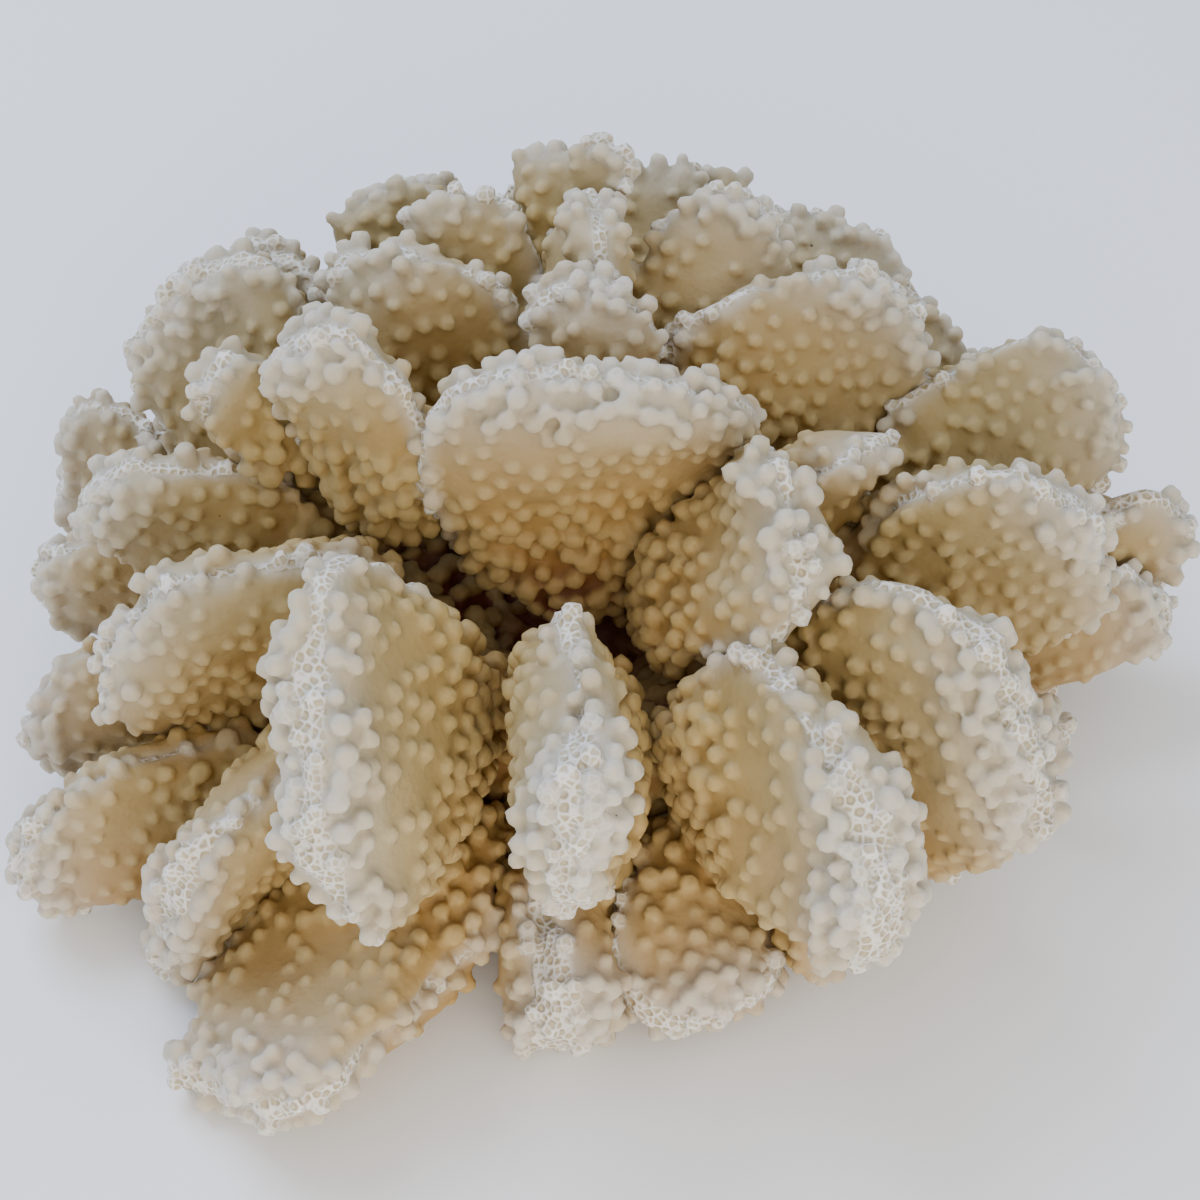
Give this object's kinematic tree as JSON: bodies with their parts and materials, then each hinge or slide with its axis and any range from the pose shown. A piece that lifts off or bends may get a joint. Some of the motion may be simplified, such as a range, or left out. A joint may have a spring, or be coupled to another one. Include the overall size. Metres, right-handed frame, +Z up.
{
  "type": "cauliflower coral",
  "caption": "Dome-shaped colony of flattened, warty coral lobes that fan out from a short holdfast cut flat to rest on.",
  "frame": {"origin": "middle of the flat cut under the holdfast", "axes": "+Z up, -Y towards the side that the picture looks at, +X to its right"},
  "size_m": [0.215, 0.2035, 0.0995],
  "materials": {
    "coral_skeleton": null,
    "holdfast_stained": null
  },
  "bodies": {
    "root": {"back_fan_left": "coral_skeleton", "back_fan_mid": "coral_skeleton", "back_fan_right": "coral_skeleton", "back_low_left": "coral_skeleton", "back_low_mid": "coral_skeleton", "back_low_mid_left": "coral_skeleton", "back_low_mid_right": "coral_skeleton", "back_low_right": "coral_skeleton", "back_shoulder_left": "coral_skeleton", "back_shoulder_mid": "coral_skeleton", "back_shoulder_right": "coral_skeleton", "centre_fan": "coral_skeleton", "centre_fold": "coral_skeleton", "crown_knob": "coral_skeleton", "crown_spike": "coral_skeleton", "far_right_fan": "coral_skeleton", "front_left_fan": "coral_skeleton", "front_left_skirt": "coral_skeleton", "front_left_tip": "coral_skeleton", "front_ridge": "coral_skeleton", "front_ridge_low": "coral_skeleton", "front_right_ridge": "coral_skeleton", "front_right_skirt": "coral_skeleton", "front_right_tip": "coral_skeleton", "holdfast": "holdfast_stained", "inner_right_knob": "coral_skeleton", "left_back_fan": "coral_skeleton", "left_back_ridge": "coral_skeleton", "left_disc": "coral_skeleton", "left_disc_back": "coral_skeleton", "left_finger": "coral_skeleton", "left_low_fan": "coral_skeleton", "left_small": "coral_skeleton", "left_upper": "coral_skeleton", "left_upper_back": "coral_skeleton", "right_back_blade": "coral_skeleton", "right_back_fan": "coral_skeleton", "right_back_fold": "coral_skeleton", "right_fan": "coral_skeleton", "right_front_fan": "coral_skeleton", "right_low_knob": "coral_skeleton", "right_tip_lower": "coral_skeleton", "right_tip_upper": "coral_skeleton", "upper_left_bud": "coral_skeleton", "upper_left_far": "coral_skeleton", "upper_left_finger": "coral_skeleton", "upper_left_knob": "coral_skeleton"}
  },
  "joints": []
}
